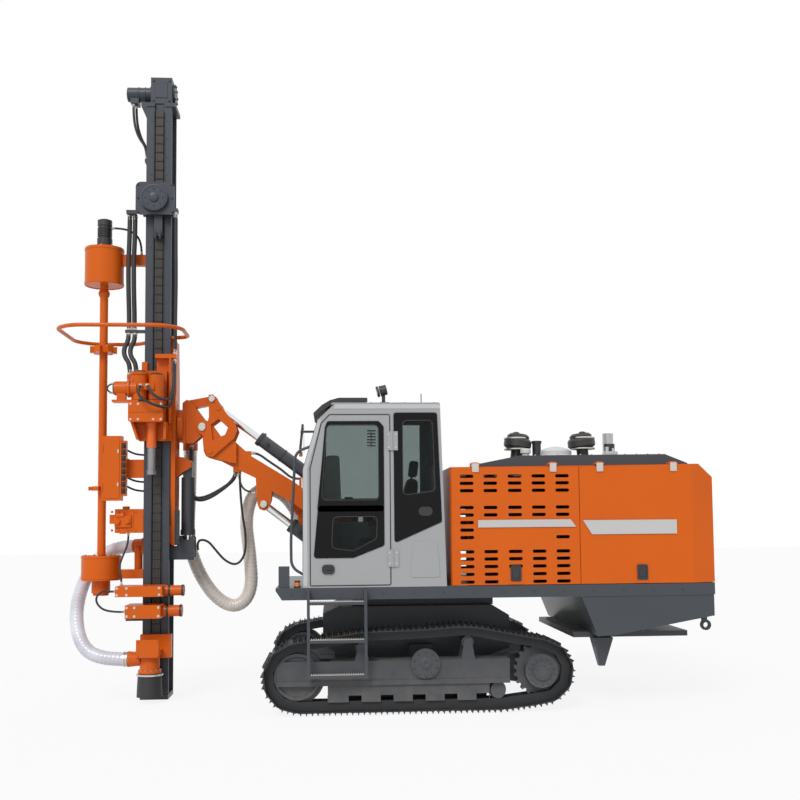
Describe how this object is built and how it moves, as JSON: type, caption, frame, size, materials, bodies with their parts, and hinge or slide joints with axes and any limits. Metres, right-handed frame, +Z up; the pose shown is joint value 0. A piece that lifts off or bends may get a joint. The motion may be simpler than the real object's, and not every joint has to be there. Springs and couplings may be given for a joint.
{
  "type": "down-the-hole drilling rig",
  "caption": "Crawler drilling rig with a glazed cab, gull-wing engine covers and a swinging boom that tilts and slides an upright feed beam with a rotary head and pipe magazine.",
  "frame": {"origin": "middle of the machine's footprint on the ground", "axes": "+X towards the rear of the machine, the feed beam at -X; +Z up; +Y towards the machine's right side, the cab at -Y"},
  "size_m": [6.816, 2.574, 6.905],
  "materials": {
    "beam_grey": "satin",
    "black_plastic": "matte",
    "bright_steel": "brushed",
    "cab_grey": "semi-gloss",
    "chrome_rod": "polished",
    "clear_hose": "gloss",
    "deck_grey": "satin",
    "engine_iron": "rough",
    "frame_grey": "satin",
    "orange_paint": "semi-gloss",
    "rubber": "matte",
    "seat_fabric": "woven",
    "tinted_glass": "gloss",
    "track_steel": "worn"
  },
  "bodies": {
    "chassis": {"air_cleaners": "black_plastic", "cab_glass": "tinted_glass", "cab_shell": "cab_grey", "centre_frame": "frame_grey", "deck_fittings": "cab_grey", "deck_frame": "deck_grey", "engine_bay": "orange_paint", "engine_block": "engine_iron", "exhaust_stack": "bright_steel", "hood": "deck_grey", "ladder": "deck_grey", "operator_console": "black_plastic", "operator_seat": "seat_fabric", "rear_skirt": "deck_grey", "rollers_left": "frame_grey", "rollers_right": "frame_grey", "sprocket_left": "frame_grey", "sprocket_right": "frame_grey", "track_frame_left": "frame_grey", "track_frame_right": "frame_grey", "track_left": "track_steel", "track_right": "track_steel", "work_lamps": "black_plastic"},
    "cab_door": {"cab_door": "cab_grey", "door_glass": "tinted_glass"},
    "panel_left_front": {"panel_left_front": "orange_paint"},
    "panel_left_rear": {"panel_left_rear": "orange_paint"},
    "panel_right_front": {"panel_right_front": "orange_paint"},
    "panel_right_rear": {"panel_right_rear": "orange_paint"},
    "boom_post": {"boom_post": "orange_paint"},
    "lift_barrel": {"lift_barrel": "frame_grey"},
    "lift_rod": {"lift_rod": "chrome_rod"},
    "boom": {"boom": "orange_paint", "rear_hose": "clear_hose", "boom_hoses": "rubber"},
    "tilt_barrel": {"tilt_barrel": "frame_grey"},
    "tilt_rod": {"tilt_rod": "chrome_rod"},
    "rocker": {"rocker": "orange_paint"},
    "tilt_link": {"tilt_link": "orange_paint"},
    "feed_holder": {"feed_holder": "orange_paint"},
    "feed_cradle": {"feed_cradle": "orange_paint", "slide_barrel": "frame_grey"},
    "feed_beam": {"feed_beam": "beam_grey", "feed_chain": "track_steel", "top_drive": "frame_grey", "magazine_frame": "orange_paint", "guard_ring": "orange_paint", "valve_box": "orange_paint", "pipe_clamps": "orange_paint", "feed_hoses": "rubber", "dust_hood": "orange_paint", "hood_skirt": "rubber", "front_hose": "clear_hose", "slide_rod": "chrome_rod"},
    "hose_carriage": {"hose_carriage": "beam_grey", "carriage_hose": "rubber"},
    "rotary_head": {"rotary_head": "orange_paint", "head_hoses": "rubber"},
    "drill_pipe": {"drill_pipe": "bright_steel"},
    "carousel": {"carousel": "orange_paint"}
  },
  "joints": [
    {"name": "cab_door_hinge", "type": "hinge", "parent": "chassis", "child": "cab_door", "pos_m": [0.062, -1.232, 2], "axis": [0, 0, 1], "range_deg": [0, 95]},
    {"name": "left_front_panel_hinge", "type": "hinge", "parent": "chassis", "child": "panel_left_front", "pos_m": [1.3, -1.205, 2.47], "axis": [-1, 0, 0], "range_deg": [0, 80]},
    {"name": "left_rear_panel_hinge", "type": "hinge", "parent": "chassis", "child": "panel_left_rear", "pos_m": [2.6, -1.205, 2.47], "axis": [-1, 0, 0], "range_deg": [0, 80]},
    {"name": "right_front_panel_hinge", "type": "hinge", "parent": "chassis", "child": "panel_right_front", "pos_m": [1.3, 1.205, 2.47], "axis": [1, 0, 0], "range_deg": [0, 80]},
    {"name": "right_rear_panel_hinge", "type": "hinge", "parent": "chassis", "child": "panel_right_rear", "pos_m": [2.6, 1.205, 2.47], "axis": [1, 0, 0], "range_deg": [0, 80]},
    {"name": "boom_swing", "type": "hinge", "parent": "chassis", "child": "boom_post", "pos_m": [-0.35, 0.2, 1.7], "axis": [0, 0, 1], "range_deg": [-50, 20]},
    {"name": "boom_lift", "type": "hinge", "parent": "boom_post", "child": "boom", "pos_m": [-0.5, 0.2, 1.95], "axis": [0, 1, 0], "range_deg": [-25, 42]},
    {"name": "lift_barrel_hinge", "type": "hinge", "parent": "boom_post", "child": "lift_barrel", "pos_m": [-0.53, 0.2, 1.51], "axis": [0, 1, 0], "range_deg": [-18.5, 30.8]},
    {"name": "lift_rod_slide", "type": "slide", "parent": "lift_barrel", "child": "lift_rod", "axis": [-0.7913, 0, 0.6114], "range_m": [-0.147, 0.246]},
    {"name": "feed_tilt", "type": "hinge", "parent": "boom", "child": "feed_holder", "pos_m": [-1.98, 0.2, 2.97], "axis": [0, -1, 0], "range_deg": [-90, 20], "deforming": ["rear_hose", "boom_hoses"]},
    {"name": "rocker_hinge", "type": "hinge", "parent": "boom", "child": "rocker", "pos_m": [-1.89, 0.2, 2.7], "axis": [0, -1, 0], "range_deg": [-47, 10.6]},
    {"name": "tilt_link_hinge", "type": "hinge", "parent": "rocker", "child": "tilt_link", "pos_m": [-1.87, 0.2, 3.28], "axis": [0, -1, 0], "range_deg": [-3.7, 15.9]},
    {"name": "tilt_barrel_hinge", "type": "hinge", "parent": "boom", "child": "tilt_barrel", "pos_m": [-0.72, 0.2, 2.375], "axis": [0, -1, 0], "range_deg": [-3, 0.8]},
    {"name": "tilt_rod_slide", "type": "slide", "parent": "tilt_barrel", "child": "tilt_rod", "axis": [-0.8018, 0, 0.5976], "range_m": [-0.379, 0.086]},
    {"name": "feed_swing", "type": "hinge", "parent": "feed_holder", "child": "feed_cradle", "pos_m": [-2.25, 0.2, 2.99], "axis": [1, 0, 0], "range_deg": [-97, 33]},
    {"name": "feed_slide", "type": "slide", "parent": "feed_cradle", "child": "feed_beam", "axis": [0, 0, 1], "range_m": [-0.55, 0]},
    {"name": "head_feed", "type": "slide", "parent": "feed_beam", "child": "rotary_head", "axis": [0, 0, 1], "range_m": [-1.25, 1.6], "deforming": ["head_hoses"]},
    {"name": "hose_carriage_slide", "type": "slide", "parent": "feed_beam", "child": "hose_carriage", "axis": [0, 0, 1], "range_m": [-0.63, 0.81], "deforming": ["carriage_hose"]},
    {"name": "drill_turn", "type": "hinge", "parent": "rotary_head", "child": "drill_pipe", "pos_m": [-2.48, -0.25, 2.7], "axis": [0, 0, 1], "continuous": true},
    {"name": "magazine_turn", "type": "hinge", "parent": "feed_beam", "child": "carousel", "pos_m": [-3.075, 0.1, 3], "axis": [0, 0, 1], "continuous": true}
  ],
  "couplings": [
    {"joint": "lift_barrel_hinge", "follows": "boom_lift", "ratio": 0.7228},
    {"joint": "lift_rod_slide", "follows": "boom_lift", "m_per_rad": 0.33293},
    {"joint": "rocker_hinge", "follows": "feed_tilt", "ratio": 0.5191},
    {"joint": "tilt_link_hinge", "follows": "feed_tilt", "ratio": -0.1737},
    {"joint": "tilt_barrel_hinge", "follows": "feed_tilt", "ratio": 0.032},
    {"joint": "tilt_rod_slide", "follows": "feed_tilt", "m_per_rad": 0.23993},
    {"joint": "hose_carriage_slide", "follows": "head_feed", "ratio": 0.5}
  ]
}
